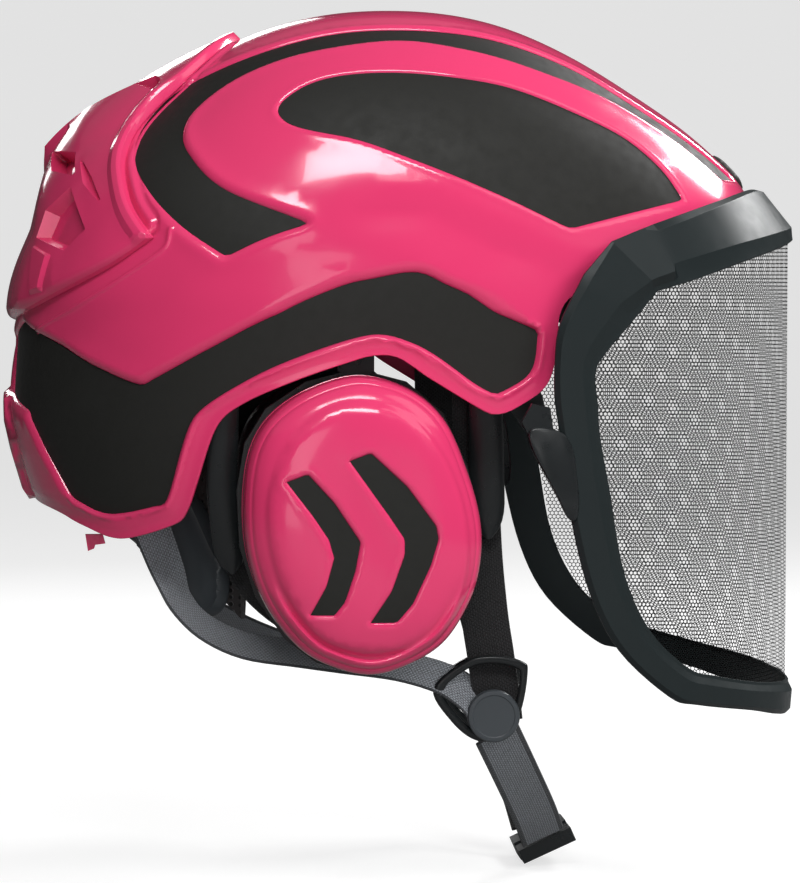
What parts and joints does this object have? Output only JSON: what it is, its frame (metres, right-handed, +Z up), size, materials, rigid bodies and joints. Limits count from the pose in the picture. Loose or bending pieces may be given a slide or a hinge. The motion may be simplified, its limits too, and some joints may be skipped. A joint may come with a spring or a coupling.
{
  "type": "forestry helmet",
  "caption": "Forestry helmet with a tilting mesh visor, fold-out ear defenders, a head harness with a size knob and a buckled chin strap.",
  "frame": {"origin": "centre of the crown pad's flat underside, where the helmet rests on the top of the head", "axes": "+X to the wearer's front, +Y to the wearer's left, +Z up; millimetre tables, metres in the files"},
  "size_m": [0.3289, 0.2622, 0.3575],
  "materials": {
    "pink_shell": "gloss",
    "black_inlay": "matte",
    "visor_plastic": "satin",
    "black_plastic": "satin",
    "grey_plastic": "satin",
    "steel_mesh": "woven",
    "steel_pin": "satin",
    "liner_foam": "matte",
    "seal_skin": "satin",
    "black_webbing": "woven",
    "grey_webbing": "woven",
    "mesh_padding": "matte"
  },
  "bodies": {
    "helmet": {"main_shell": "pink_shell", "impact_liner": "liner_foam", "rear_vent_cover": "pink_shell", "rear_pull_tab": "pink_shell", "head_band": "black_plastic", "brow_pad": "mesh_padding", "crown_pad": "mesh_padding", "crown_strap_side": "black_webbing", "crown_strap_long": "black_webbing", "nape_cradle": "grey_plastic", "nape_pad": "mesh_padding", "ratchet_case": "black_plastic", "buckle_socket": "black_plastic", "buckle_plug": "black_plastic", "stripe_inlay_r": "black_inlay", "leaf_inlay_r": "black_inlay", "side_band_inlay_r": "black_inlay", "visor_pivot_r": "steel_pin", "ear_bracket_r": "black_plastic", "front_guide_r": "black_plastic", "rear_guide_r": "black_plastic", "front_strap_r": "black_webbing", "nape_strap_r": "grey_webbing", "rear_strap_r": "black_webbing", "strap_junction_r": "black_plastic", "chin_strap_r": "grey_webbing", "stripe_inlay_l": "black_inlay", "leaf_inlay_l": "black_inlay", "side_band_inlay_l": "black_inlay", "visor_pivot_l": "steel_pin", "ear_bracket_l": "black_plastic", "front_guide_l": "black_plastic", "rear_guide_l": "black_plastic", "front_strap_l": "black_webbing", "nape_strap_l": "grey_webbing", "rear_strap_l": "black_webbing", "strap_junction_l": "black_plastic", "chin_strap_l": "black_webbing"},
    "visor": {"visor_frame": "visor_plastic", "visor_mesh": "steel_mesh", "visor_arm_r": "black_plastic", "visor_arm_l": "black_plastic"},
    "knob": {"ratchet_knob": "black_plastic"},
    "tail_right": {"band_tail_r": "black_plastic"},
    "tail_left": {"band_tail_l": "black_plastic"},
    "latch": {"buckle_latch": "grey_plastic"},
    "right_carrier": {"ear_carrier_r": "black_plastic"},
    "right_arm": {"ear_arm_r": "black_plastic"},
    "right_cup": {"ear_cup_r": "pink_shell", "ear_plate_r": "black_plastic", "ear_cushion_r": "seal_skin", "chevron_front_r": "black_inlay", "chevron_rear_r": "black_inlay"},
    "left_carrier": {"ear_carrier_l": "black_plastic"},
    "left_arm": {"ear_arm_l": "black_plastic"},
    "left_cup": {"ear_cup_l": "pink_shell", "ear_plate_l": "black_plastic", "ear_cushion_l": "seal_skin", "chevron_front_l": "black_inlay", "chevron_rear_l": "black_inlay"}
  },
  "joints": [
    {"name": "visor_tilt", "type": "hinge", "parent": "helmet", "child": "visor", "pos_m": [0.034, 0, -0.093], "axis": [0, -1, 0], "range_deg": [0, 60]},
    {"name": "right_ear_fold", "type": "hinge", "parent": "helmet", "child": "right_carrier", "pos_m": [-0.017, -0.0935, -0.09], "axis": [-1, 0, 0], "range_deg": [0, 25], "stiffness_Nm_per_rad": 0.8, "springref_deg": -5.73},
    {"name": "right_ear_height", "type": "slide", "parent": "right_carrier", "child": "right_arm", "axis": [0, 0, -1], "range_m": [0, 0.015]},
    {"name": "right_ear_yaw", "type": "hinge", "parent": "right_arm", "child": "right_cup", "pos_m": [-0.017, -0.0915, -0.1], "axis": [0, 0, 1], "range_deg": [-5, 5]},
    {"name": "left_ear_fold", "type": "hinge", "parent": "helmet", "child": "left_carrier", "pos_m": [-0.017, 0.0935, -0.09], "axis": [1, 0, 0], "range_deg": [0, 25], "stiffness_Nm_per_rad": 0.8, "springref_deg": -5.73},
    {"name": "left_ear_height", "type": "slide", "parent": "left_carrier", "child": "left_arm", "axis": [0, 0, -1], "range_m": [0, 0.015]},
    {"name": "left_ear_yaw", "type": "hinge", "parent": "left_arm", "child": "left_cup", "pos_m": [-0.017, 0.0915, -0.1], "axis": [0, 0, 1], "range_deg": [-5, 5]},
    {"name": "fit_knob", "type": "hinge", "parent": "helmet", "child": "knob", "pos_m": [-0.1248, 0, -0.152], "axis": [1, 0, 0], "range_deg": [0, 120]},
    {"name": "right_tail_slide", "type": "slide", "parent": "helmet", "child": "tail_right", "axis": [0, 1, 0], "range_m": [0, 0.0101]},
    {"name": "left_tail_slide", "type": "slide", "parent": "helmet", "child": "tail_left", "axis": [0, -1, 0], "range_m": [0, 0.0101]},
    {"name": "latch_press", "type": "slide", "parent": "helmet", "child": "latch", "axis": [0.4067, 0, -0.9135], "range_m": [0, 0.0006], "stiffness_N_per_m": 300, "springref_m": -0.0005}
  ],
  "couplings": [
    {"joint": "right_tail_slide", "follows": "fit_knob", "m_per_rad": 0.004775},
    {"joint": "left_tail_slide", "follows": "fit_knob", "m_per_rad": 0.004775}
  ]
}
